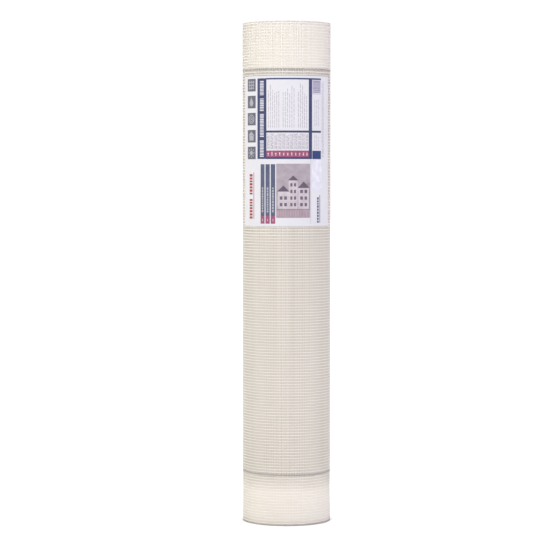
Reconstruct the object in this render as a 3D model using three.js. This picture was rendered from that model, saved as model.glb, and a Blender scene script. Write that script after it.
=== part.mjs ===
// A roll of glass fibre mesh, 1 m wide, wound on a cardboard core and standing on its end.
// Millimetres, +Z up along the winding axis, with the origin at the middle of the lower end.
// The printed sheet glued to the outer turn faces -Y.
import * as THREE from "three";

// The wound mesh
const FABRIC_WIDTH = 1000; // the fabric's width is the roll's height
const ROLL_RADIUS = 88.5;
const ROLL_SIDES = 64;

// The turns on the ends: flat bands of turns with a shallow dip between each band and the next
const TURN_BANDS = 8;
const DIP_WIDTH = 1.8;
const DIP_DEPTH = 2;

// The cardboard core
const CORE_BORE_RADIUS = 25;
const CORE_WALL = 3;
const CORE_LENGTH = FABRIC_WIDTH;

// The sheet glued round the outer turn
const LABEL_HEIGHT = 297;
const LABEL_WIDTH = 210; // measured round the roll
const LABEL_THICKNESS = 0.3;
const LABEL_TOP_MARGIN = 108; // from the roll's upper end down to the sheet's upper edge
const LABEL_TURN = THREE.MathUtils.degToRad(-0.6); // how far its middle is turned from -Y
const LABEL_STEP = THREE.MathUtils.degToRad(4.5); // the longest straight step round the roll

// The clearance that touching pieces keep
const SEAT_GAP = 0.3;

const material = (color, roughness) => new THREE.MeshStandardMaterial({ color, roughness, metalness: 0 });

function named(name, geometry, surface) {
  const mesh = new THREE.Mesh(geometry, surface);
  mesh.name = name;
  return mesh;
}

// A ring turned from a closed profile of [radius, height] points, listed up the outside and down
// the bore. LatheGeometry turns about Y, so the ring is stood up along Z.
function turned(profile) {
  const points = [...profile, profile[0]].map(([radius, height]) => new THREE.Vector2(radius, height));
  return new THREE.LatheGeometry(points, ROLL_SIDES).rotateX(Math.PI / 2);
}

// One end of the roll from its bore to its rim: the bands lie level with the end, and each dip
// between two bands is a shallow V cut inwards.
function endProfile(boreRadius, height, inwards) {
  const points = [[boreRadius, height]];
  const bandPitch = (ROLL_RADIUS - boreRadius) / TURN_BANDS;
  for (let band = 1; band < TURN_BANDS; band++) {
    const middle = boreRadius + band * bandPitch;
    points.push([middle - DIP_WIDTH / 2, height]);
    points.push([middle, height + inwards * DIP_DEPTH]);
    points.push([middle + DIP_WIDTH / 2, height]);
  }
  points.push([ROLL_RADIUS, height]);
  return points;
}

function meshRoll() {
  const boreRadius = CORE_BORE_RADIUS + CORE_WALL + SEAT_GAP;
  const lowerEnd = endProfile(boreRadius, 0, 1);
  const upperEnd = endProfile(boreRadius, FABRIC_WIDTH, -1).reverse();
  return named("mesh_roll", turned([...lowerEnd, ...upperEnd]), material(0xe3ddd4, 0.7));
}

function coreTube() {
  const outside = CORE_BORE_RADIUS + CORE_WALL;
  const lowerEnd = (FABRIC_WIDTH - CORE_LENGTH) / 2;
  const upperEnd = lowerEnd + CORE_LENGTH;
  const profile = [
    [CORE_BORE_RADIUS, lowerEnd],
    [outside, lowerEnd],
    [outside, upperEnd],
    [CORE_BORE_RADIUS, upperEnd],
  ];
  return named("core_tube", turned(profile), material(0xa98a63, 0.9));
}

// The sheet's section is a thin band bent round the roll, extruded up its height.
function label() {
  const inside = ROLL_RADIUS + SEAT_GAP;
  const outside = inside + LABEL_THICKNESS;
  const sweep = LABEL_WIDTH / inside;
  const start = -Math.PI / 2 + LABEL_TURN - sweep / 2;
  const steps = Math.ceil(sweep / LABEL_STEP);
  const onCircle = (radius, step) => {
    const angle = start + (sweep * step) / steps;
    return new THREE.Vector2(radius * Math.cos(angle), radius * Math.sin(angle));
  };
  const section = [];
  for (let step = 0; step <= steps; step++) section.push(onCircle(outside, step));
  for (let step = steps; step >= 0; step--) section.push(onCircle(inside, step));
  const sheet = new THREE.ExtrudeGeometry(new THREE.Shape(section), {
    depth: LABEL_HEIGHT,
    bevelEnabled: false,
  });
  const mesh = named("label", sheet, material(0xefedf2, 0.6));
  mesh.position.z = FABRIC_WIDTH - LABEL_TOP_MARGIN - LABEL_HEIGHT;
  return mesh;
}

const roll = new THREE.Group();
roll.add(meshRoll(), coreTube(), label());

export default roll;
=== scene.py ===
# A roll of coated glass fibre mesh, 1 m wide, wound on a cardboard core and standing on its end.
# Metres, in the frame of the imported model: +Z up along the winding axis, the printed sheet towards -Y.
import math
import random

import bmesh
import bpy
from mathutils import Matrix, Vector


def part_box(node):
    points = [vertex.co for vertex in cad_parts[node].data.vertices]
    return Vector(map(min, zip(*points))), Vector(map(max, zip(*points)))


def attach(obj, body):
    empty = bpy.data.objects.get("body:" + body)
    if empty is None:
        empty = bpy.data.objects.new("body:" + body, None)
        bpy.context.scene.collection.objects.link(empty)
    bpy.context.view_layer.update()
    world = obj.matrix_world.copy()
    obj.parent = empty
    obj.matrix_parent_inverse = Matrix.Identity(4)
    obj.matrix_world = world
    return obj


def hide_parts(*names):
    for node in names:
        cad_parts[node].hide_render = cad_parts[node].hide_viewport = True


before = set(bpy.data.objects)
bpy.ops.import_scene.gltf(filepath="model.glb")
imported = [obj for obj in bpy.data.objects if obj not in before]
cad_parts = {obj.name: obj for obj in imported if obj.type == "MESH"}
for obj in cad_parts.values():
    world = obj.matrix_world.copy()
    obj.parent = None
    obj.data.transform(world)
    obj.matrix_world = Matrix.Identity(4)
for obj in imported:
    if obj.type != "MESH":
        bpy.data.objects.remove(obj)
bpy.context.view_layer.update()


# The wound turns under the outer ones
# The mesh is one long piece of leno cloth: glass yarns with a white coating, wound tight on its core.
# Its turns are rolled straight, so their warps lie behind each other and stand as low ribs. The gaps
# between the ribs are dull, because little light gets down between the yarns; the yarns' colour also
# darkens with depth there, as painted shade.
ROLL_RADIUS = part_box("mesh_roll")[1].x
FABRIC_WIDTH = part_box("mesh_roll")[1].z
CORE_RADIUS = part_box("core_tube")[1].x
SEAT_GAP = 0.0003
TURN_THICKNESS = 0.000442
WARP_PITCH = 0.00566
FIRST_WARP = 0.0053
WARP_COUNT = 176
MARKED_WARPS = (17, 159)
WEFTS_PER_TURN = 106
SEEN_TURNS = 7
EVEN_TURNS = 2
RIB_WIDTH = 0.0020
RIB_DEPTH = 0.0011
RIB_TOP = ROLL_RADIUS - RIB_DEPTH
BEHIND_WEFTS = 0.0004
RIB_FOOT = ROLL_RADIUS - SEEN_TURNS * TURN_THICKNESS - BEHIND_WEFTS
FILLED_FROM = 3  # warps inside a marking yarn, where the grooves begin to fill up
LOWER_FILL = 9  # warps that the filling takes at the lower end
UPPER_FILL = 4  # and at the upper end
BODY_SIDES = 80
BODY_END_DEPTH = 0.0072
RIM_DEPTH = 0.0032
RIM_WIDTH = 0.0022


def add(tree, kind, inputs=None, **settings):
    """Adds a node to a tree, makes its settings, and feeds each input from a socket or a value."""
    made = tree.nodes.new(kind)
    for setting, value in settings.items():
        setattr(made, setting, value)
    for socket, value in (inputs or {}).items():
        if isinstance(value, bpy.types.NodeSocket):
            tree.links.new(value, made.inputs[socket])
        else:
            made.inputs[socket].default_value = value
    return made


def calc(tree, operation, first, second=0.0, third=0.0):
    """A number worked out from up to three others."""
    return add(tree, "ShaderNodeMath", {0: first, 1: second, 2: third}, operation=operation).outputs[0]


def ramp(tree, value, start, end, low=0.0, high=1.0):
    """A value's way from start to end, as a number from low to high."""
    return add(tree, "ShaderNodeMapRange", {
        "Value": value,
        "From Min": start,
        "From Max": end,
        "To Min": low,
        "To Max": high,
    }).outputs[0]


def blended(tree, factor, first, second):
    """A colour between two others, each a socket or a red, green and blue value."""
    ends = {"Factor": factor, "A": first, "B": second}
    for socket in ("A", "B"):
        if isinstance(ends[socket], tuple):
            ends[socket] = (*ends[socket], 1)
    return add(tree, "ShaderNodeMix", ends, data_type="RGBA").outputs["Result"]


def radius_of(tree, place):
    """The distance of a place from the winding axis."""
    flat = add(tree, "ShaderNodeVectorMath", {0: place, 1: (1, 1, 0)}, operation="MULTIPLY").outputs[0]
    return add(tree, "ShaderNodeVectorMath", {0: flat}, operation="LENGTH").outputs["Value"]


def new_material(name, roughness, **shader_values):
    """A material with one Principled shader: gives its tree, the shader and object coordinates."""
    material = bpy.data.materials.new(name)
    material.use_nodes = True
    tree = material.node_tree
    shader = next(n for n in tree.nodes if n.type == "BSDF_PRINCIPLED")
    shader.inputs["Roughness"].default_value = roughness
    for socket, value in shader_values.items():
        shader.inputs[socket.replace("_", " ")].default_value = value
    place = add(tree, "ShaderNodeTexCoord").outputs["Object"]
    return material, tree, shader, place


def cells(tree, place, scale, stretch=(1, 1, 1), detail=3.0):
    """Noise from 0 to 1, in cells stretched along a grain."""
    stretched = add(tree, "ShaderNodeMapping", {"Vector": place, "Scale": stretch}).outputs[0]
    noise = {"Vector": stretched, "Scale": scale, "Detail": detail}
    return add(tree, "ShaderNodeTexNoise", noise).outputs[0]


def mottled(tree, place, light, dark, scale, stretch=(1, 1, 1)):
    """A colour that drifts between two near tones, in cells stretched along the yarn or grain."""
    return blended(tree, ramp(tree, cells(tree, place, scale, stretch), 0.3, 0.7), dark, light)


def painted(tree, shader, colour, height, distance):
    """Gives a shader its colour, and a relief whose full depth is the distance."""
    tree.links.new(colour, shader.inputs["Base Color"])
    bump = add(tree, "ShaderNodeBump", {"Height": height, "Distance": distance})
    tree.links.new(bump.outputs[0], shader.inputs["Normal"])


YARN_LIGHT = (0.965, 0.925, 0.87)
YARN_DARK = (0.93, 0.885, 0.82)
# Painted shade: the yarn colour deep in the roll, where little light gets in
PAINTED_SHADE_TONE = (0.67, 0.615, 0.53)
# Painted shade between the upright yarns painted on the wound body
PAINTED_GAP_SHADE = (0.80, 0.755, 0.685)
# The wefts are the same coated yarn as the warps; their lower tones are painted shade, as they lie deeper
SHADED_WEFT_LIGHT = (0.845, 0.80, 0.735)
SHADED_WEFT_DARK = (0.81, 0.765, 0.70)
YARN_ROUGHNESS = 0.48
YARN_RELIEF = 0.00008
STREAK_SCALE = 60.0
FILAMENT_SCALE = 900.0
STRAND_FROM = 0.12
STRAND_FULL = 0.26
STRAND_RELIEF = 2.0
# Painted shade with depth: none above the first depth, full below the second
UNSHADED_DEPTH = 0.0002
FULL_SHADE_DEPTH = 0.0030
# Painted light: in the two margins near the roll's ends a share of the painted shade is lifted
MARGIN_FROM = FABRIC_WIDTH / 2 - 0.108
MARGIN_FULL = FABRIC_WIDTH / 2 - 0.068
MARGIN_PAINTED_LIGHT = 0.25
ROUND_THE_ROLL = (0.35, 0.35, 6.0)
ALONG_THE_ROLL = (5.0, 5.0, 0.12)


def yarn_material(name, stretch, light=YARN_LIGHT, dark=YARN_DARK, painted_shade=PAINTED_SHADE_TONE, strands=0):
    """Coated glass yarn: filaments show as streaks along it, under a satin coating. Its colour darkens
    the deeper it lies in the roll, as painted shade, and less so in the two margins outside the marking
    yarns, as painted light there. Strands is how many upright yarns a turn shows on a surface that
    stands for many turns, with painted shade between them."""
    material, tree, shader, place = new_material(name, YARN_ROUGHNESS, IOR=1.5)
    yarn = mottled(tree, place, light, dark, STREAK_SCALE, stretch)
    # Painted shade: the colour darkens from the outer turn inwards
    outwards = ramp(tree, radius_of(tree, place), ROLL_RADIUS - FULL_SHADE_DEPTH, ROLL_RADIUS - UNSHADED_DEPTH)
    height = add(tree, "ShaderNodeSeparateXYZ", {0: place}).outputs["Z"]
    off_middle = calc(tree, "ABSOLUTE", calc(tree, "SUBTRACT", height, FABRIC_WIDTH / 2))
    # Painted light: the painted shade is partly lifted near each end of the roll
    margin_painted_light = ramp(tree, off_middle, MARGIN_FROM, MARGIN_FULL, 0.0, MARGIN_PAINTED_LIGHT)
    inwards = calc(tree, "SUBTRACT", 1.0, outwards)
    unshaded_share = calc(tree, "MULTIPLY_ADD", inwards, margin_painted_light, outwards)
    colour = blended(tree, unshaded_share, painted_shade, yarn)
    relief = cells(tree, place, FILAMENT_SCALE, stretch, 2.0)
    if strands:
        axes = add(tree, "ShaderNodeSeparateXYZ", {0: place}).outputs
        turn = calc(tree, "DIVIDE", calc(tree, "ARCTAN2", axes["Y"], axes["X"]), 2 * math.pi / strands)
        strand = ramp(tree, calc(tree, "PINGPONG", turn, 0.5), STRAND_FROM, STRAND_FULL)
        # Painted shade in the gaps between the painted strands
        colour = blended(tree, strand, PAINTED_GAP_SHADE, colour)
        relief = calc(tree, "MULTIPLY_ADD", strand, STRAND_RELIEF, relief)
    painted(tree, shader, colour, relief, YARN_RELIEF)
    return material


warp_yarn = yarn_material("warp_yarn", ROUND_THE_ROLL)
wound_yarn = yarn_material("wound_yarn", ROUND_THE_ROLL, strands=2 * WEFTS_PER_TURN)
weft_yarn = yarn_material("weft_yarn", ALONG_THE_ROLL, SHADED_WEFT_LIGHT, SHADED_WEFT_DARK)


def placed(name, vertices, faces, material, smooth=True):
    """A new object at the origin with this mesh, its faces turned outwards."""
    mesh = bpy.data.meshes.new(name)
    mesh.from_pydata(vertices, [], faces)
    shell = bmesh.new()
    shell.from_mesh(mesh)
    bmesh.ops.recalc_face_normals(shell, faces=shell.faces)
    shell.to_mesh(mesh)
    shell.free()
    mesh.materials.append(material)
    if smooth:
        mesh.shade_smooth()
    piece = bpy.data.objects.new(name, mesh)
    bpy.context.scene.collection.objects.link(piece)
    return piece


def turned(name, profile, sides, material):
    """A closed ring turned about Z from a profile of (radius, height) points that closes on itself."""
    steps = [2 * math.pi * side / sides for side in range(sides)]
    vertices = [(r * math.cos(a), r * math.sin(a), z) for a in steps for r, z in profile]
    count = len(profile)
    faces = []
    for side in range(sides):
        here, there = side * count, (side + 1) % sides * count
        for k in range(count):
            after = (k + 1) % count
            faces.append((here + k, there + k, there + after, here + after))
    return placed(name, vertices, faces, material)


def warp_height(index):
    """How high above the lower end a warp lies."""
    return FIRST_WARP + index * WARP_PITCH


def groove_foot(index):
    """The radius between the ribs: the grooves fill up from just inside each marking yarn outwards."""
    below = (MARKED_WARPS[0] + FILLED_FROM - index) / LOWER_FILL
    above = (index - MARKED_WARPS[1] + FILLED_FROM) / UPPER_FILL
    filled = min(1.0, max(0.0, below, above))
    return RIB_FOOT + (RIB_TOP - RIB_FOOT) * filled


body_profile = [
    (CORE_RADIUS + SEAT_GAP, BODY_END_DEPTH),
    (RIB_TOP - 2 * RIM_WIDTH, BODY_END_DEPTH),
    (RIB_TOP - RIM_WIDTH, RIM_DEPTH),
    (RIB_TOP, RIM_DEPTH),
]
for index in range(1, WARP_COUNT - 1):
    if index in MARKED_WARPS:
        continue
    middle = warp_height(index)
    body_profile += [
        (groove_foot(index), middle - RIB_WIDTH / 2),
        (RIB_TOP, middle - RIB_WIDTH / 4),
        (RIB_TOP, middle + RIB_WIDTH / 4),
        (groove_foot(index), middle + RIB_WIDTH / 2),
    ]
body_profile += [
    (RIB_TOP, FABRIC_WIDTH - RIM_DEPTH),
    (RIB_TOP - RIM_WIDTH, FABRIC_WIDTH - RIM_DEPTH),
    (RIB_TOP - 2 * RIM_WIDTH, FABRIC_WIDTH - BODY_END_DEPTH),
    (CORE_RADIUS + SEAT_GAP, FABRIC_WIDTH - BODY_END_DEPTH),
]
wound_body = turned("wound_body", body_profile, BODY_SIDES, wound_yarn)
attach(wound_body, "root")
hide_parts("mesh_roll")


# The wefts of the outer turns
# Each weft is a flat coated glass yarn that runs the whole width of the cloth, so on the roll it stands
# upright, held between the crossing warps. The wefts of a few turns show behind each other, plumb in
# the two outer turns and swaying a little in the ones behind.
TAIL_ANGLE = math.radians(118)
WEFT_WIDTH = 0.0013
WEFT_THICKNESS = 0.00026
WEFT_DEPTH = 0.0004
WEFT_END_SPREAD = 0.0009
BAR_SIDES = 6
OUTER_SWAY = math.radians(0.03)
INNER_SWAY = math.radians(0.12)
SOCKET_KINDS = {float: "NodeSocketFloat", int: "NodeSocketInt"}


def new_tree(name, sizes):
    """A Geometry Nodes tree with a named input for each size: gives the tree and those inputs."""
    tree = bpy.data.node_groups.new(name, "GeometryNodeTree")
    tree.interface.new_socket("Geometry", in_out="OUTPUT", socket_type="NodeSocketGeometry")
    for size, value in sizes.items():
        tree.interface.new_socket(size, in_out="INPUT", socket_type=SOCKET_KINDS[type(value)])
    return tree, tree.nodes.new("NodeGroupInput").outputs


def close_tree(tree, geometry):
    """Ends a tree in realized instances, smooth faces and the material that its input names."""
    tree.interface.new_socket("Material", in_out="INPUT", socket_type="NodeSocketMaterial")
    material = next(n for n in tree.nodes if n.type == "GROUP_INPUT").outputs["Material"]
    real = add(tree, "GeometryNodeRealizeInstances", {"Geometry": geometry}).outputs[0]
    smooth = add(tree, "GeometryNodeSetShadeSmooth", {"Geometry": real}).outputs[0]
    finished = add(tree, "GeometryNodeSetMaterial", {"Geometry": smooth, "Material": material}).outputs[0]
    tree.links.new(finished, tree.nodes.new("NodeGroupOutput").inputs[0])


def grown(name, tree, sizes, material):
    """Runs a tree with these sizes and gives what it makes as an object with a plain mesh."""
    piece = bpy.data.objects.new(name, bpy.data.meshes.new(name))
    bpy.context.scene.collection.objects.link(piece)
    modifier = piece.modifiers.new(name, "NODES")
    modifier.node_group = tree
    values = {**sizes, "Material": material}
    for socket in tree.interface.items_tree:
        if socket.in_out == "INPUT":
            modifier[socket.identifier] = values[socket.name]
    evaluated = piece.evaluated_get(bpy.context.evaluated_depsgraph_get())
    mesh = bpy.data.meshes.new_from_object(evaluated)
    piece.modifiers.remove(modifier)
    piece.data = mesh
    return piece


def upwards(tree, height):
    """A step of this height along the winding axis."""
    return add(tree, "ShaderNodeCombineXYZ", {2: height}).outputs[0]


def spiral(tree, size):
    """The line of the cloth through its turns, seen along the axis, from the tail's angle outwards."""
    line = add(tree, "GeometryNodeCurveSpiral", {
        "Resolution": size["Points per Turn"],
        "Rotations": size["Turns"],
        "Start Radius": size["Start Radius"],
        "End Radius": size["End Radius"],
        "Height": 0.0,
    }).outputs[0]
    turn = {"Geometry": line, "Rotation": (0, 0, TAIL_ANGLE)}
    return add(tree, "GeometryNodeTransform", turn).outputs[0]


# The ends of the bands of turns, as the solid roll has them
BAND_COUNT = 8
DIP_WIDTH = 0.0018
DIP_DEPTH = 0.002
RISE_AND_FALL = 0.0009
RISE_SCALE = 260.0


def band_depth(tree, place):
    """How far the turns at a place lie below the roll's end: deep between bands, shallow on them."""
    radius = radius_of(tree, place)
    bore = CORE_RADIUS + SEAT_GAP
    band_width = (ROLL_RADIUS - bore) / BAND_COUNT
    band = calc(tree, "DIVIDE", calc(tree, "SUBTRACT", radius, bore), band_width)
    inner = calc(tree, "MINIMUM", calc(tree, "MAXIMUM", band, 0.5), BAND_COUNT - 0.5)
    off_dip = calc(tree, "MULTIPLY", calc(tree, "PINGPONG", inner, 0.5), band_width)
    dip = ramp(tree, off_dip, 0.0, DIP_WIDTH / 2, DIP_DEPTH, 0.0)
    noise = {"W": radius, "Scale": RISE_SCALE, "Detail": 1.0}
    drift = add(tree, "ShaderNodeTexNoise", noise, noise_dimensions="1D")
    return calc(tree, "MULTIPLY_ADD", drift.outputs[0], RISE_AND_FALL, dip)


outer_radius = ROLL_RADIUS - WEFT_DEPTH
even_radius = outer_radius - EVEN_TURNS * TURN_THICKNESS
upright_sizes = {
    "Start Radius": even_radius,
    "End Radius": outer_radius,
    "Turns": EVEN_TURNS - 1 / WEFTS_PER_TURN,
    "Points per Turn": 64,
    "Weft Pitch": math.pi * (outer_radius + even_radius) / WEFTS_PER_TURN,
    "Foot": 0.0,
    "Length": FABRIC_WIDTH,
    "Length Spread": WEFT_END_SPREAD,
    "Lean": 0.0,
    "Sway": OUTER_SWAY,
    "Width": WEFT_WIDTH,
    "Thickness": WEFT_THICKNESS,
    "Sides": BAR_SIDES,
    "Bands": 0.0,
    "Seed": 3,
}


def upright_tree():
    """Flat upright bars along the cloth's spiral, one for each weft."""
    tree, size = new_tree("upright_wefts", upright_sizes)
    along = {"Curve": spiral(tree, size), "Length": size["Weft Pitch"]}
    points = add(tree, "GeometryNodeResampleCurve", along, mode="LENGTH").outputs[0]
    bar = add(tree, "GeometryNodeMeshCylinder", {
        "Vertices": size["Sides"],
        "Radius": 0.5,
        "Depth": 1.0,
    }).outputs["Mesh"]
    raised = add(tree, "GeometryNodeTransform", {"Geometry": bar, "Translation": (0, 0, 0.5)}).outputs[0]
    facing = add(tree, "FunctionNodeAlignRotationToVector", {
        "Vector": add(tree, "GeometryNodeInputTangent").outputs[0],
    }, axis="X", pivot_axis="Z").outputs[0]
    most = add(tree, "ShaderNodeCombineXYZ", {0: size["Lean"], 1: size["Sway"], 2: size["Lean"]}).outputs[0]
    least = add(tree, "ShaderNodeVectorMath", {0: most, "Scale": -1.0}, operation="SCALE").outputs[0]
    lean = add(tree, "FunctionNodeRandomValue", {
        "Min": least,
        "Max": most,
        "Seed": size["Seed"],
    }, data_type="FLOAT_VECTOR").outputs[0]
    turned_bar = add(tree, "FunctionNodeRotateRotation", {
        "Rotation": facing,
        "Rotate By": lean,
    }, rotation_space="LOCAL").outputs[0]
    shortening = add(tree, "FunctionNodeRandomValue", {
        2: 0.0,
        3: size["Length Spread"],
        "Seed": calc(tree, "ADD", size["Seed"], 1.0),
    }).outputs[1]
    place = add(tree, "GeometryNodeInputPosition").outputs[0]
    lowering = calc(tree, "MULTIPLY", band_depth(tree, place), size["Bands"])
    length = calc(tree, "SUBTRACT", calc(tree, "SUBTRACT", size["Length"], shortening), lowering)
    section = add(tree, "ShaderNodeCombineXYZ", {
        0: size["Width"],
        1: size["Thickness"],
        2: length,
    }).outputs[0]
    bars = add(tree, "GeometryNodeInstanceOnPoints", {
        "Points": points,
        "Instance": raised,
        "Rotation": turned_bar,
        "Scale": section,
    }).outputs[0]
    foot = upwards(tree, size["Foot"])
    close_tree(tree, add(tree, "GeometryNodeTransform", {"Geometry": bars, "Translation": foot}).outputs[0])
    return tree


uprights = upright_tree()
outer_wefts = grown("outer_wefts", uprights, upright_sizes, weft_yarn)
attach(outer_wefts, "root")

inner_weft_sizes = {
    **upright_sizes,
    "Start Radius": outer_radius - SEEN_TURNS * TURN_THICKNESS,
    "End Radius": even_radius,
    "Turns": float(SEEN_TURNS - EVEN_TURNS),
    "Sway": INNER_SWAY,
    "Seed": 7,
}
inner_wefts = grown("inner_wefts", uprights, inner_weft_sizes, weft_yarn)
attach(inner_wefts, "root")


# The warps of the outer turn
# Warps run along the cloth, so they go round the roll, in pairs. Between one weft and the next the
# two yarns of a pair cross, with one always over the wefts and the other always under them. The
# outer turn ends in a cut edge at the back, where it lies one thickness proud.
WARP_YARN_WIDTH = 0.00115
WARP_YARN_THICKNESS = 0.0003
PAIR_SPREAD = 0.00045
OVER_DEPTH = 0.00015
UNDER_DEPTH = 0.00065
WARP_WANDER = 0.0003
WANDER_CELLS = (7, 7, 900)
LOOSE_SIDE = (0.12, -0.99, 0.0)
LOOSE_FROM = ROLL_RADIUS * 0.5
LOOSE_FULL = ROLL_RADIUS * 0.85
NO_WARP = -1

warp_sizes = {
    "Start Radius": ROLL_RADIUS - TURN_THICKNESS - OVER_DEPTH,
    "End Radius": ROLL_RADIUS - OVER_DEPTH,
    "Turns": 1.0,
    "Points per Turn": WEFTS_PER_TURN,
    "First Height": FIRST_WARP,
    "Pitch": WARP_PITCH,
    "Count": WARP_COUNT,
    "Lower Mark": MARKED_WARPS[0],
    "Upper Mark": MARKED_WARPS[1],
    "Spread": PAIR_SPREAD,
    "Wander": WARP_WANDER,
    "Sheet Side": 0.0,
    "Bands": 0.0,
    "Width": WARP_YARN_WIDTH,
    "Thickness": WARP_YARN_THICKNESS,
    "Seed": 11,
}


def warp_tree():
    """Yarns round the roll at even heights, stepping up and down by turns from weft to weft. The two
    marked ones are left out, because they are of another colour."""
    tree, size = new_tree("warps_round", warp_sizes)
    column = add(tree, "GeometryNodeMeshLine", {
        "Count": size["Count"],
        "Start Location": upwards(tree, size["First Height"]),
        "Offset": upwards(tree, size["Pitch"]),
    }).outputs[0]
    index = add(tree, "GeometryNodeInputIndex").outputs[0]
    marks = [calc(tree, "COMPARE", index, size[mark], 0.5) for mark in ("Lower Mark", "Upper Mark")]
    marked = calc(tree, "MAXIMUM", *marks)
    kept = add(tree, "GeometryNodeDeleteGeometry", {"Geometry": column, "Selection": marked}).outputs[0]
    copies = {"Points": kept, "Instance": spiral(tree, size)}
    rings = add(tree, "GeometryNodeInstanceOnPoints", copies).outputs[0]
    real = add(tree, "GeometryNodeRealizeInstances", {"Geometry": rings}).outputs[0]
    weft = add(tree, "GeometryNodeSplineParameter").outputs["Index"]
    side = calc(tree, "MULTIPLY_ADD", calc(tree, "MODULO", weft, 2.0), 2.0, -1.0)
    place = add(tree, "GeometryNodeInputPosition").outputs[0]
    stretch = {0: place, 1: WANDER_CELLS}
    stretched = add(tree, "ShaderNodeVectorMath", stretch, operation="MULTIPLY").outputs[0]
    turn = calc(tree, "DIVIDE", weft, size["Points per Turn"])
    drift = add(tree, "ShaderNodeTexNoise", {
        "Vector": stretched,
        "W": calc(tree, "ADD", size["Seed"], turn),
        "Scale": 1.0,
        "Detail": 2.0,
    }, noise_dimensions="4D").outputs[0]
    wander = calc(tree, "MULTIPLY", calc(tree, "SUBTRACT", drift, 0.5), size["Wander"])
    towards_sheet = add(tree, "ShaderNodeVectorMath", {0: place, 1: LOOSE_SIDE}, operation="DOT_PRODUCT")
    near_sheet = ramp(tree, towards_sheet.outputs["Value"], LOOSE_FROM, LOOSE_FULL)
    elsewhere = calc(tree, "MULTIPLY", size["Sheet Side"], calc(tree, "SUBTRACT", 1.0, near_sheet))
    wander = calc(tree, "MULTIPLY", wander, calc(tree, "SUBTRACT", 1.0, elsewhere))
    rise = calc(tree, "MULTIPLY_ADD", side, size["Spread"], wander)
    lowering = calc(tree, "MULTIPLY", band_depth(tree, place), size["Bands"])
    moved = add(tree, "GeometryNodeSetPosition", {
        "Geometry": real,
        "Offset": upwards(tree, calc(tree, "SUBTRACT", rise, lowering)),
    }).outputs[0]
    upright = add(tree, "GeometryNodeSetCurveNormal", {"Curve": moved}, mode="Z_UP").outputs[0]
    lozenge = add(tree, "GeometryNodeCurvePrimitiveCircle", {"Resolution": 4, "Radius": 0.5}).outputs[0]
    scale = {0: size["Thickness"], 1: size["Width"], 2: 1.0}
    section = add(tree, "GeometryNodeTransform", {
        "Geometry": lozenge,
        "Scale": add(tree, "ShaderNodeCombineXYZ", scale).outputs[0],
    }).outputs[0]
    close_tree(tree, add(tree, "GeometryNodeCurveToMesh", {
        "Curve": upright,
        "Profile Curve": section,
        "Fill Caps": True,
    }).outputs[0])
    return tree


warps = warp_tree()
over_warps = grown("over_warps", warps, warp_sizes, warp_yarn)
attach(over_warps, "root")

under_sizes = {
    **warp_sizes,
    "Start Radius": ROLL_RADIUS - TURN_THICKNESS - UNDER_DEPTH,
    "End Radius": ROLL_RADIUS - UNDER_DEPTH,
    "Spread": -PAIR_SPREAD,
    "Seed": 12,
}
under_warps = grown("under_warps", warps, under_sizes, warp_yarn)
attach(under_warps, "root")


# The two marking yarns
# One warp pair a hand's width from each edge of the cloth is dark grey, to mark how far two strips
# overlap on a wall. In the turns below the outer one it wanders on the sheet's side, and shows in the
# gaps as dark ticks.
SEEN_MARKS = 8
MARK_WANDER = 0.020
INNER_MARK_WIDTH = 1.4 * WARP_YARN_WIDTH
MARK_GREY = (0.47, 0.44, 0.42)
MARK_DARK = (0.36, 0.335, 0.325)
# Painted shade: the marking yarn's colour deep in the roll
MARK_PAINTED_SHADE = (0.23, 0.215, 0.205)

marking_yarn = yarn_material("marking_yarn", ROUND_THE_ROLL, MARK_GREY, MARK_DARK, MARK_PAINTED_SHADE)
only_marks = {
    "First Height": warp_height(MARKED_WARPS[0]),
    "Pitch": (MARKED_WARPS[1] - MARKED_WARPS[0]) * WARP_PITCH,
    "Count": 2,
    "Lower Mark": NO_WARP,
    "Upper Mark": NO_WARP,
}
inner_mark_sizes = {
    **warp_sizes,
    **only_marks,
    "Start Radius": ROLL_RADIUS - OVER_DEPTH - SEEN_MARKS * TURN_THICKNESS,
    "End Radius": ROLL_RADIUS - OVER_DEPTH - TURN_THICKNESS,
    "Turns": SEEN_MARKS - 1.0,
    "Wander": MARK_WANDER,
    "Width": INNER_MARK_WIDTH,
    "Sheet Side": 1.0,
}
over_marks = grown("over_marks", warps, {**warp_sizes, **only_marks}, marking_yarn)
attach(over_marks, "root")
under_marks = grown("under_marks", warps, {**under_sizes, **only_marks}, marking_yarn)
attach(under_marks, "root")
inner_marks = grown("inner_marks", warps, inner_mark_sizes, marking_yarn)
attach(inner_marks, "root")


# The ends of the turns
# On each end every turn shows its last warp as one long spiral, with the cut ends of its wefts
# standing a few millimetres past it. Bands of turns lie level, with a shallow dip after each band.
SPIRAL_TURNS = 134.0
SPIRAL_POINTS = 56
SPIRAL_SPREAD = 0.0002
STUB_LEAN = math.radians(5)
STUB_SPREAD = 0.0012
STUB_ROOT = 0.0004
STUB_SIDES = 4
# Painted shade: the cut ends' colour deeper in the roll
CUT_PAINTED_SHADE = (0.86, 0.835, 0.78)

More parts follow.
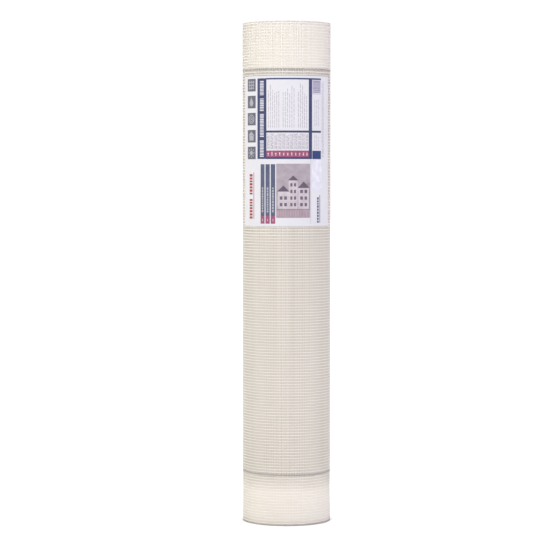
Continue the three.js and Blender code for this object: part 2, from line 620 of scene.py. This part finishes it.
cut_yarn = yarn_material("cut_yarn", ALONG_THE_ROLL, painted_shade=CUT_PAINTED_SHADE)
innermost_turn = CORE_RADIUS + SEAT_GAP + TURN_THICKNESS / 2
end_turn_sizes = {
    **warp_sizes,
    "Start Radius": innermost_turn,
    "End Radius": ROLL_RADIUS - OVER_DEPTH - TURN_THICKNESS,
    "Turns": SPIRAL_TURNS,
    "Points per Turn": SPIRAL_POINTS,
    "First Height": warp_height(WARP_COUNT - 1),
    "Pitch": WARP_PITCH,
    "Count": 1,
    "Lower Mark": NO_WARP,
    "Upper Mark": NO_WARP,
    "Spread": SPIRAL_SPREAD,
    "Bands": 1.0,
}
stub_sizes = {
    **upright_sizes,
    "Start Radius": innermost_turn,
    "End Radius": outer_radius - TURN_THICKNESS,
    "Turns": SPIRAL_TURNS,
    "Foot": FABRIC_WIDTH - BODY_END_DEPTH - STUB_ROOT,
    "Length": BODY_END_DEPTH,
    "Length Spread": STUB_SPREAD,
    "Lean": STUB_LEAN,
    "Sway": STUB_LEAN,
    "Sides": STUB_SIDES,
    "Bands": 1.0,
    "Seed": 23,
}


def mirrored(name, source):
    """A copy of an upper end's piece on the lower end."""
    mesh = source.data.copy()
    for vertex in mesh.vertices:
        vertex.co.z = FABRIC_WIDTH - vertex.co.z
    mesh.flip_normals()
    piece = bpy.data.objects.new(name, mesh)
    bpy.context.scene.collection.objects.link(piece)
    return piece


upper_turns = grown("upper_end_turns", warps, end_turn_sizes, cut_yarn)
upper_stubs = grown("upper_weft_ends", uprights, stub_sizes, cut_yarn)
lower_turns = mirrored("lower_end_turns", upper_turns)
lower_stubs = mirrored("lower_weft_ends", upper_stubs)
for end_piece in (upper_turns, upper_stubs, lower_turns, lower_stubs):
    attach(end_piece, "root")


# The cardboard core
# A tube of brown board wound from paper strips on a slant, so a spiral seam shows in its bore and
# its plies show as fine rings on its sawn ends. The first turn of the cloth is stuck to it.
CORE_BORE = 0.025
CORE_SIDES = 96
SAWN_EDGE = 0.0004
SHARP_ANGLE = math.radians(30)
STRIP_PITCH = 0.125
SEAM_HALF = 0.004
PLY = 0.0005
CORE_ROUGHNESS = 0.85
FIBRE_SCALE = 700.0
BOARD_LIGHT = (0.47, 0.34, 0.22)
BOARD_DARK = (0.36, 0.25, 0.155)
BOARD_SCALE = 110.0
SEAM_TONE = (0.20, 0.135, 0.085)
PLY_SHADE = 0.75
BOARD_RELIEF = 0.0003

core_board, core_tree, core_shader, core_place = new_material("core_board", CORE_ROUGHNESS)
core_axes = add(core_tree, "ShaderNodeSeparateXYZ", {0: core_place}).outputs
core_angle = calc(core_tree, "ARCTAN2", core_axes["Y"], core_axes["X"])
round_core = calc(core_tree, "DIVIDE", core_angle, 2 * math.pi)
up_core = calc(core_tree, "DIVIDE", core_axes["Z"], STRIP_PITCH)
off_seam = calc(core_tree, "PINGPONG", calc(core_tree, "ADD", round_core, up_core), 0.5)
seam = ramp(core_tree, off_seam, 0.0, SEAM_HALF)
plies = calc(core_tree, "PINGPONG", radius_of(core_tree, core_place), PLY / 2)
ply_line = ramp(core_tree, plies, 0.0, PLY / 4)
fibres = cells(core_tree, core_place, FIBRE_SCALE, (1, 1, 0.4), 5.0)
board = mottled(core_tree, core_place, BOARD_LIGHT, BOARD_DARK, BOARD_SCALE, (1, 1, 0.5))
shadowed = calc(core_tree, "MULTIPLY", seam, ramp(core_tree, ply_line, 0.0, 1.0, PLY_SHADE, 1.0))
board = blended(core_tree, shadowed, SEAM_TONE, board)
painted(core_tree, core_shader, board, calc(core_tree, "ADD", fibres, seam), BOARD_RELIEF)

core_profile = [
    (CORE_BORE + SAWN_EDGE, 0.0),
    (CORE_RADIUS - SAWN_EDGE, 0.0),
    (CORE_RADIUS, SAWN_EDGE),
    (CORE_RADIUS, FABRIC_WIDTH - SAWN_EDGE),
    (CORE_RADIUS - SAWN_EDGE, FABRIC_WIDTH),
    (CORE_BORE + SAWN_EDGE, FABRIC_WIDTH),
    (CORE_BORE, FABRIC_WIDTH - SAWN_EDGE),
    (CORE_BORE, SAWN_EDGE),
]
core = turned("cardboard_core", core_profile, CORE_SIDES, core_board)
core.data.set_sharp_from_angle(angle=SHARP_ANGLE)
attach(core, "root")
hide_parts("core_tube")


# The sheet glued round the outer turn
# One sheet of white coated A4 paper, glued round the roll, with its lower right corner coming loose.
# The warps under it press through as faint ribs. Places on it are in millimetres from its lower
# left corner, u round the roll and v upwards.
MM = 0.001
SHEET_WIDTH = 210.0
SHEET_HEIGHT = 297.0
SHEET_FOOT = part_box("label")[0].z
SHEET_MIDDLE = math.radians(-90.6)
SHEET_THICKNESS = 0.00012
SHEET_SEAT = 0.00010
STRIP_WIDTH = 3.0
EDGE_ROWS = (1.0, 2.0, 3.5, 5.5, 8.0, 11.0, 16.0)
FREE_EDGE = 4.0
EDGE_LIFT = 0.00025
CORNER_REACH = 16.0
CORNER_LIFT = 0.0010


def lift(u, v):
    """How far the sheet's free edge stands off the roll: most at its lower right corner."""
    inwards = min(u, SHEET_WIDTH - u, v, SHEET_HEIGHT - v)
    edge = max(0.0, 1 - inwards / FREE_EDGE)
    corner = max(0.0, 1 - math.hypot(SHEET_WIDTH - u, v) / CORNER_REACH)
    return EDGE_LIFT * edge ** 2 + CORNER_LIFT * corner ** 2


def on_sheet(u, v, height):
    """The point of the frame that lies this far above the sheet's inner face at (u, v)."""
    radius = ROLL_RADIUS + SHEET_SEAT + lift(u, v) + height
    angle = SHEET_MIDDLE + (u - SHEET_WIDTH / 2) * MM / ROLL_RADIUS
    return radius * math.cos(angle), radius * math.sin(angle), SHEET_FOOT + v * MM


def block(left, right, foot, top):
    """The outline of an upright rectangle."""
    return [(left, foot), (right, foot), (right, top), (left, top)]


def bent(name, outlines, low, high, material, rows=()):
    """Flat outlines cut into upright strips, bent round the roll and closed between two heights."""
    flat = bmesh.new()
    for outline in outlines:
        flat.faces.new([flat.verts.new((u, v, 0)) for u, v in outline])
    cuts = [((STRIP_WIDTH * k, 0, 0), (1, 0, 0)) for k in range(1, int(SHEET_WIDTH / STRIP_WIDTH))]
    cuts += [((0, row, 0), (0, 1, 0)) for row in rows]
    for point, direction in cuts:
        everything = flat.verts[:] + flat.edges[:] + flat.faces[:]
        bmesh.ops.bisect_plane(flat, geom=everything, plane_co=point, plane_no=direction)
    flat.verts.index_update()
    count = len(flat.verts)
    vertices = [on_sheet(v.co.x, v.co.y, height) for height in (low, high) for v in flat.verts]
    faces = [[v.index + layer for v in face.verts] for layer in (0, count) for face in flat.faces]
    for edge in flat.edges:
        if edge.is_boundary:
            first, second = (v.index for v in edge.verts)
            faces.append([first, second, second + count, first + count])
    flat.free()
    return placed(name, vertices, faces, material, smooth=False)


PAPER_LIGHT = (0.62, 0.615, 0.65)
PAPER_DARK = (0.595, 0.59, 0.625)
PAPER_ROUGHNESS = 0.42
PAPER_SCALE = 25.0
WRINKLE_SCALE = 40.0
RIB_SHARE = -0.35
PAPER_RELIEF = 0.00022
label_paper, paper_tree, paper_shader, paper_place = new_material(
    "label_paper",
    PAPER_ROUGHNESS,
    Specular_IOR_Level=0.35,
)
paper_height = add(paper_tree, "ShaderNodeSeparateXYZ", {0: paper_place}).outputs["Z"]
rib_phase = calc(paper_tree, "DIVIDE", calc(paper_tree, "SUBTRACT", paper_height, FIRST_WARP), WARP_PITCH / 2)
ribs = calc(paper_tree, "PINGPONG", rib_phase, 1.0)
wrinkles = cells(paper_tree, paper_place, WRINKLE_SCALE, (1, 1, 2.5), 4.0)
relief = calc(paper_tree, "MULTIPLY_ADD", ribs, RIB_SHARE, wrinkles)
paper_colour = mottled(paper_tree, paper_place, PAPER_LIGHT, PAPER_DARK, PAPER_SCALE)
painted(paper_tree, paper_shader, paper_colour, relief, PAPER_RELIEF)

sheet_rows = EDGE_ROWS + tuple(SHEET_HEIGHT - row for row in EDGE_ROWS)
whole_sheet = [block(0, SHEET_WIDTH, 0, SHEET_HEIGHT)]
label_sheet = bent("label_sheet", whole_sheet, 0.0, SHEET_THICKNESS, label_paper, sheet_rows)
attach(label_sheet, "root")
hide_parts("label")


# The print on the sheet
# A plain product sheet printed on its side: a navy title bar and frame, boxes of small print, a table
# with a crimson header, five pictograms and a picture. Rows of blocks stand where it has words.
INK_STEP = 0.00003
INK_ROUGHNESS = 0.4
INK_SCALE = 90.0
INK_GRAIN_SCALE = 1800.0
INK_RELIEF = 0.00003
INK_LIGHTER = 1.12
INK_DARKER = 0.9
PRINT_DROP = 1.2
NAVY = (0.036, 0.046, 0.12)
SLATE = (0.105, 0.103, 0.135)
CRIMSON = (0.28, 0.07, 0.14)
RED = (0.28, 0.04, 0.04)
BLUE = (0.018, 0.038, 0.145)
STEEL = (0.080, 0.092, 0.155)
GREY = (0.40, 0.37, 0.42)
WHITE = (0.60, 0.595, 0.63)
PALE_MARK = (0.33, 0.33, 0.37)
PALE = (0.635, 0.63, 0.70)
BARCODE_GROUND = (0.48, 0.46, 0.56)
BARCODE_LINE = (0.20, 0.19, 0.26)

# The shortest and the longest block, and the space after it, for each kind of print
TITLE_PRINT = (1.3, 2.3, 1.3)
FOOT_PRINT = (3.0, 5.0, 1.4)
BOX_PRINT = (3.0, 11.0, 1.6)
TABLE_PRINT = (3.0, 9.0, 1.4)
HEADER_PRINT = (1.2, 2.6, 1.2)
COLUMN_PRINT = (3.0, 9.0, 1.6)
EDGE_PRINT = (3.0, 14.0, 1.6)
HEADLINE_PRINT = (3.6, 5.2, 1.6)
BAR_PRINT = (2.4, 6.0, 1.3)
lines = random.Random(5)


def ink(name, tone):
    """Printing ink on coated paper: an even tone with faint cloudiness and the paper's fine grain."""
    material, tree, shader, place = new_material(name, INK_ROUGHNESS, Specular_IOR_Level=0.3)
    light = tuple(min(1.0, part * INK_LIGHTER) for part in tone)
    dark = tuple(part * INK_DARKER for part in tone)
    colour = mottled(tree, place, light, dark, INK_SCALE)
    painted(tree, shader, colour, cells(tree, place, INK_GRAIN_SCALE), INK_RELIEF)
    return material


def printed(name, outlines, tone, layer=1):
    """One ink's share of the print, on the paper or on the inks of the layers under it."""
    ink_height = SHEET_THICKNESS + layer * INK_STEP
    lowered = [[(u, v - PRINT_DROP) for u, v in outline] for outline in outlines]
    piece = bent(name, lowered, SHEET_THICKNESS / 2, ink_height, ink(name, tone))
    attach(piece, "root")
    return piece


def row_of_blocks(middle, width, foot, top, shortest, longest, space):
    """A line of print as plain blocks of uneven length, running upwards, with no letter in it."""
    outlines = []
    start = foot
    while start + shortest < top:
        end = min(top, start + lines.uniform(shortest, longest))
        outlines.append(block(middle - width / 2, middle + width / 2, start, end))
        start = end + space
    return outlines


def disc(u, v, radius, sides=18):
    """The outline of a round spot."""
    steps = [2 * math.pi * side / sides for side in range(sides)]
    return [(u + radius * math.cos(a), v + radius * math.sin(a)) for a in steps]


def ring(u, v, radius, width, sides=18):
    """A round line, as a row of short pieces."""
    steps = [2 * math.pi * side / sides for side in range(sides + 1)]
    inside, outside = ([(u + r * math.cos(a), v + r * math.sin(a)) for a in steps]
                       for r in (radius - width, radius))
    return [[inside[k], outside[k], outside[k + 1], inside[k + 1]] for k in range(sides)]


# The title bar and the frame
TITLE_LEFT = 42.8
BOX_LEFT = 64.2
BOX_RIGHT = 151.1
COLUMN_LEFT = 158.7
FRAME_RIGHT = 182.6
FRAME_FOOT = 134.1
TABLE_FOOT = 138.3
TABLE_TOP = 186.2
BOX_FOOT = 190.2
BOX_TOP = 290.6
FRAME_TOP = 293.6
navy_shapes = [
    block(TITLE_LEFT, BOX_LEFT, FRAME_FOOT + 0.3, FRAME_TOP - 0.4),
    block(BOX_LEFT, FRAME_RIGHT, BOX_TOP, FRAME_TOP),
    block(BOX_RIGHT, COLUMN_LEFT, TABLE_FOOT, BOX_TOP),
    block(BOX_LEFT, BOX_RIGHT, TABLE_TOP, BOX_FOOT),
    block(COLUMN_LEFT, FRAME_RIGHT, TABLE_TOP, BOX_FOOT),
    block(BOX_LEFT, COLUMN_LEFT, FRAME_FOOT, TABLE_FOOT),
]
navy_shapes += row_of_blocks(174.0, 4.5, 8.0, 63.0, *FOOT_PRINT)
navy_shapes.append(block(178.6, 180.2, 8.0, 63.0))
title_words = [(138.5, 172.0), (178.0, 223.0), (229.0, 254.0), (260.0, 288.5)]
title_shapes = []
for word_foot, word_top in title_words:
    title_shapes += row_of_blocks(53.6, 9.0, word_foot, word_top, *TITLE_PRINT)

# The five pictograms: a grid, a drop, a roll, a house and a sun
ICON_LEFT = 12.0
ICON_RIGHT = 38.0
ICON_FEET = (134.0, 167.1, 200.9, 234.7, 268.0)
ICON_SIZE = 24.8
LINE_HALF = 0.9
icon_middle = (ICON_LEFT + ICON_RIGHT) / 2


def in_icon(middle, outline):
    """An outline drawn round the middle of a pictogram, moved to its place on the sheet."""
    return [(icon_middle + u, middle + v) for u, v in outline]


icon_shapes = [block(ICON_LEFT, ICON_RIGHT, foot, foot + ICON_SIZE) for foot in ICON_FEET]
sun_v, house_v, roll_v, drop_v, grid_v = (foot + ICON_SIZE / 2 for foot in ICON_FEET)
mark_shapes = [
    in_icon(drop_v, disc(0.0, -2.5, 6.0)),
    in_icon(drop_v, [(-5.4, 0.3), (5.4, 0.3), (0.0, 10.0)]),
    in_icon(roll_v, disc(0.0, 0.0, 1.8)),
    in_icon(house_v, block(-7.0, 7.0, -8.5, 1.0)),
    in_icon(house_v, [(-9.5, 1.6), (9.5, 1.6), (0.0, 9.5)]),
    in_icon(sun_v, disc(0.0, 0.0, 4.2)),
]
mark_shapes += ring(icon_middle, roll_v, 9.0, 1.8) + ring(icon_middle, roll_v, 5.4, 1.5)
for step in (-6.0, 0.0, 6.0):
    mark_shapes.append(in_icon(grid_v, block(-9.0, 9.0, step - LINE_HALF, step + LINE_HALF)))
    for foot, top in ((-9.0, -6.9), (-5.1, -0.9), (0.9, 5.1), (6.9, 9.0)):
        mark_shapes.append(in_icon(grid_v, block(step - LINE_HALF, step + LINE_HALF, foot, top)))
for ray in range(8):
    angle = math.pi * ray / 4
    along = Vector((math.cos(angle), math.sin(angle)))
    across = Vector((-along.y, along.x)) * LINE_HALF
    near, far = along * 5.8, along * 9.8
    mark_shapes.append(in_icon(sun_v, (near - across, far - across, far + across, near + across)))

# The box of small print, the table and the right column
BOX_LINES = 19
BOX_LINE_PITCH = 4.3
PARAGRAPH_LINES = 7
TABLE_ROWS = 11
TABLE_PITCH = 7.9
HEADER_TOP = 150.9
BARCODE_FOOT = 263.4
grey_shapes = []
for text_line in range(BOX_LINES):
    line_middle = BOX_LEFT + BOX_LINE_PITCH * (text_line + 1)
    if text_line % PARAGRAPH_LINES != PARAGRAPH_LINES - 1:
        grey_shapes += row_of_blocks(line_middle, 1.3, 196.0, lines.uniform(262.0, 286.0), *BOX_PRINT)
header_marks = []
for row in range(TABLE_ROWS):
    row_left = BOX_LEFT + row * TABLE_PITCH
    if row:
        grey_shapes.append(block(row_left - 0.35, row_left + 0.35, HEADER_TOP + 0.6, TABLE_TOP - 0.4))
    for part in (0.32, 0.68):
        grey_shapes += row_of_blocks(row_left + TABLE_PITCH * part, 2.1, 154.0, 184.0, *TABLE_PRINT)
    header_marks += row_of_blocks(row_left + TABLE_PITCH / 2, 2.4, 141.4, 148.2, *HEADER_PRINT)
for line_middle in (165.5, 170.5, 175.5):
    grey_shapes += row_of_blocks(line_middle, 1.3, 200.0, 252.0, *COLUMN_PRINT)
    grey_shapes += row_of_blocks(line_middle, 1.3, 154.0, 182.0, *COLUMN_PRINT)
for line_middle in (186.0, 188.6, 191.2):
    grey_shapes += row_of_blocks(line_middle, 1.2, 138.0, 288.0, *EDGE_PRINT)
grey_shapes.append(block(COLUMN_LEFT, FRAME_RIGHT, 261.8, 262.6))
grey_shapes.append(block(155.5, 156.3, 6.4, 133.5))
barcode_ground = [block(COLUMN_LEFT, FRAME_RIGHT, BARCODE_FOOT, BOX_TOP)]
bar_foot = BARCODE_FOOT + 2.0
bar_shapes = []
while bar_foot < BOX_TOP - 3.2:
    bar_top = bar_foot + lines.uniform(0.5, 1.5)
    bar_shapes.append(block(161.3, 180.0, bar_foot, bar_top))
    bar_foot = bar_top + lines.uniform(0.6, 1.6)

# The table's header, a red headline, three steel bars, and a blue and a pale patch on the right
BAR_WIDTH = 9.3
BAR_END_TOP = 21.6
crimson_shapes = [block(BOX_LEFT, BOX_RIGHT, TABLE_FOOT, HEADER_TOP)]
red_shapes = [block(31.8, 33.4, 16.0, 108.0)]
for word_foot, word_top in ((16.0, 58.0), (64.0, 108.0)):
    red_shapes += row_of_blocks(24.0, 9.5, word_foot, word_top, *HEADLINE_PRINT)
steel_shapes = []
bar_ends = []
bar_words = []
for bar_left in (50.7, 62.1, 73.5):
    steel_shapes.append(block(bar_left, bar_left + BAR_WIDTH, BAR_END_TOP, 124.0))
    bar_ends.append(block(bar_left, bar_left + BAR_WIDTH, 6.5, BAR_END_TOP))
    bar_words += row_of_blocks(bar_left + 4.6, 3.4, 29.0, 78.0, *BAR_PRINT)
    bar_words.append(block(bar_left + 3.6, bar_left + 5.6, 11.0, 16.0))
blue_shapes = [block(159.5, FRAME_RIGHT, FRAME_FOOT, 150.6)]
pale_shapes = [block(159.0, 186.0, 72.0, 132.5)]

printed("navy_print", navy_shapes, NAVY)
printed("slate_print", icon_shapes, SLATE)
printed("crimson_print", crimson_shapes + bar_ends, CRIMSON)
printed("red_print", red_shapes, RED)
printed("steel_print", steel_shapes, STEEL)
printed("blue_print", blue_shapes, BLUE)
printed("grey_print", grey_shapes, GREY)
printed("pale_print", pale_shapes, PALE)
printed("barcode_ground", barcode_ground, BARCODE_GROUND)
printed("barcode_lines", bar_shapes, BARCODE_LINE, layer=2)
printed("white_print", title_shapes + header_marks, WHITE, layer=2)
printed("pale_marks", mark_shapes + bar_words, PALE_MARK, layer=2)

# The picture: a row of plain gabled houses behind a fence, under a pale sky
PICTURE_LEFT = 84.8
PICTURE_RIGHT = 154.3
PICTURE_FOOT = 18.3
PICTURE_TOP = 124.9
GROUND = 36.0
STOREY = 13.0
SILL = 5.0
WINDOW_HEIGHT = 6.5
WINDOW_SHARE = 0.24
ROOF_SHARE = 0.55
EAVES_OVERHANG = 1.4
BOARD_WIDTH = 1.9
BOARD_PITCH = 3.3
HOUSES = ((88.0, 22.0, 34.0), (109.5, 18.0, 56.0), (128.5, 23.0, 41.0))  # left, width, wall height
SKY = (0.34, 0.295, 0.335)
FENCE = (0.38, 0.29, 0.33)
EARTH = (0.27, 0.215, 0.25)
WALL = (0.48, 0.425, 0.465)
ROOF = (0.11, 0.085, 0.12)
PANE = (0.12, 0.105, 0.145)

sky_shapes = [block(PICTURE_LEFT, PICTURE_RIGHT, PICTURE_FOOT, PICTURE_TOP)]
ground_shapes = [
    block(PICTURE_LEFT, PICTURE_RIGHT, PICTURE_FOOT, GROUND),
    [(96.0, GROUND), (PICTURE_RIGHT, GROUND), (PICTURE_RIGHT, 88.0), (140.0, 84.0)],
]
wall_shapes = []
roof_shapes = []
window_shapes = []
for house_left, house_width, wall_height in HOUSES:
    house_right = house_left + house_width
    eaves = GROUND + wall_height
    wall_shapes.append(block(house_left, house_right, GROUND, eaves))
    ridge = (house_left + house_width / 2, eaves + house_width * ROOF_SHARE)
    roof_shapes.append([(house_left - EAVES_OVERHANG, eaves), (house_right + EAVES_OVERHANG, eaves), ridge])
    for storey in range(int(wall_height / STOREY)):
        sill = GROUND + SILL + storey * STOREY
        for share in (0.18, 0.58):
            window_left = house_left + house_width * share
            window_right = window_left + house_width * WINDOW_SHARE
            window_shapes.append(block(window_left, window_right, sill, sill + WINDOW_HEIGHT))
fence_shapes = []
board_left = PICTURE_LEFT + 0.8
while board_left < PICTURE_RIGHT - 2.0:
    fence_shapes.append(block(board_left, board_left + BOARD_WIDTH, PICTURE_FOOT + 1.0, GROUND - 2.5))
    board_left += BOARD_PITCH
printed("picture_sky", sky_shapes, SKY)
printed("picture_fence", fence_shapes, FENCE, layer=3)
printed("picture_ground", ground_shapes, EARTH, layer=2)
printed("picture_walls", wall_shapes, WALL, layer=3)
printed("picture_roofs", roof_shapes, ROOF, layer=4)
printed("picture_windows", window_shapes, PANE, layer=4)


# Floor, light and camera
# A white table that glows round the roll, in a white surround that is brighter on the left, with a
# wide low light before the roll's upper end. The camera is far off and looks slightly down.
CAMERA_DISTANCE = 4.4
CAMERA_HEIGHT = 0.695
CAMERA_ASIDE = -0.02335
CAMERA_TILT = math.radians(87.4)
CAMERA_LENS = 143.06
SENSOR_WIDTH = 36.0
FLOOR_HALF = 30.0
SURROUND = 1.02
LEFT_SURROUND = 1.5
LEFT_FROM = -0.3
LEFT_FULL = -0.9
LEFT_TINT = (1.0, 0.998, 0.93)
RIGHT_TINT = (1.02, 1.0, 1.13)
TABLE_LIGHT = (0.875, 0.87, 0.87)
TABLE_DARK = (0.865, 0.86, 0.86)
TABLE_ROUGHNESS = 0.8
TABLE_SCALE = 8.0
TABLE_GRAIN_SCALE = 300.0
TABLE_RELIEF = 0.0001
GLOW_TINT = (1.0, 0.99, 0.985, 1)
NEAR_RING = (0.086, 0.104)
NEAR_GLOW = 0.45
FAR_RING = (0.25, 0.35)
FAR_GLOW = 0.93
LAST_RING = (0.6, 0.8)
LAST_GLOW = 0.2

white_table, table_tree, table_shader, table_place = new_material(
    "white_table",
    TABLE_ROUGHNESS,
    Specular_IOR_Level=0.2,
)
table_colour = mottled(table_tree, table_place, TABLE_LIGHT, TABLE_DARK, TABLE_SCALE)
table_grain = cells(table_tree, table_place, TABLE_GRAIN_SCALE)
painted(table_tree, table_shader, table_colour, table_grain, TABLE_RELIEF)
off_axis = radius_of(table_tree, table_place)
near_glow = ramp(table_tree, off_axis, *NEAR_RING, 0.0, NEAR_GLOW)
brighter_glow = ramp(table_tree, off_axis, *FAR_RING, 0.0, FAR_GLOW - NEAR_GLOW)
glow_end = ramp(table_tree, off_axis, *LAST_RING, 0.0, FAR_GLOW - LAST_GLOW)
glow = calc(table_tree, "SUBTRACT", calc(table_tree, "ADD", near_glow, brighter_glow), glow_end)
table_tree.links.new(glow, table_shader.inputs["Emission Strength"])
table_shader.inputs["Emission Color"].default_value = GLOW_TINT
corners = [(x * FLOOR_HALF, y * FLOOR_HALF, 0) for x, y in ((-1, -1), (1, -1), (1, 1), (-1, 1))]
table = placed("table", corners, [(0, 1, 2, 3)], white_table, smooth=False)

world = bpy.data.worlds.new("white_surround")
world.use_nodes = True
surround = world.node_tree
towards = add(surround, "ShaderNodeTexCoord").outputs["Generated"]
aside = add(surround, "ShaderNodeSeparateXYZ", {0: towards}).outputs["X"]
background = surround.nodes["Background"]
tint = blended(surround, ramp(surround, aside, -0.5, 0.5), LEFT_TINT, RIGHT_TINT)
surround.links.new(tint, background.inputs["Color"])
brightness = ramp(surround, aside, LEFT_FROM, LEFT_FULL, SURROUND, LEFT_SURROUND)
surround.links.new(brightness, background.inputs["Strength"])
bpy.context.scene.world = world
bpy.context.scene.view_settings.view_transform = "Standard"

LIGHT_PLACE = Vector((-0.10, -0.90, 1.10))
LIGHT_AIM = Vector((0, 0, 0.98))
LIGHT_WIDTH = 1.0
LIGHT_HEIGHT = 0.15
LIGHT_POWER = 2.0
lamp = bpy.data.lights.new("upper_light", "AREA")
lamp.shape = "RECTANGLE"
lamp.size = LIGHT_WIDTH
lamp.size_y = LIGHT_HEIGHT
lamp.energy = LIGHT_POWER
light = bpy.data.objects.new("upper_light", lamp)
light.location = LIGHT_PLACE
light.rotation_euler = (LIGHT_AIM - LIGHT_PLACE).to_track_quat("-Z", "Y").to_euler()
light.visible_camera = False
bpy.context.scene.collection.objects.link(light)

camera = bpy.data.objects.new("camera", bpy.data.cameras.new("camera"))
bpy.context.scene.collection.objects.link(camera)
camera.location = (CAMERA_ASIDE, -CAMERA_DISTANCE, CAMERA_HEIGHT)
camera.rotation_euler = (CAMERA_TILT, 0, 0)
camera.data.lens = CAMERA_LENS
camera.data.sensor_width = SENSOR_WIDTH
bpy.context.scene.camera = camera
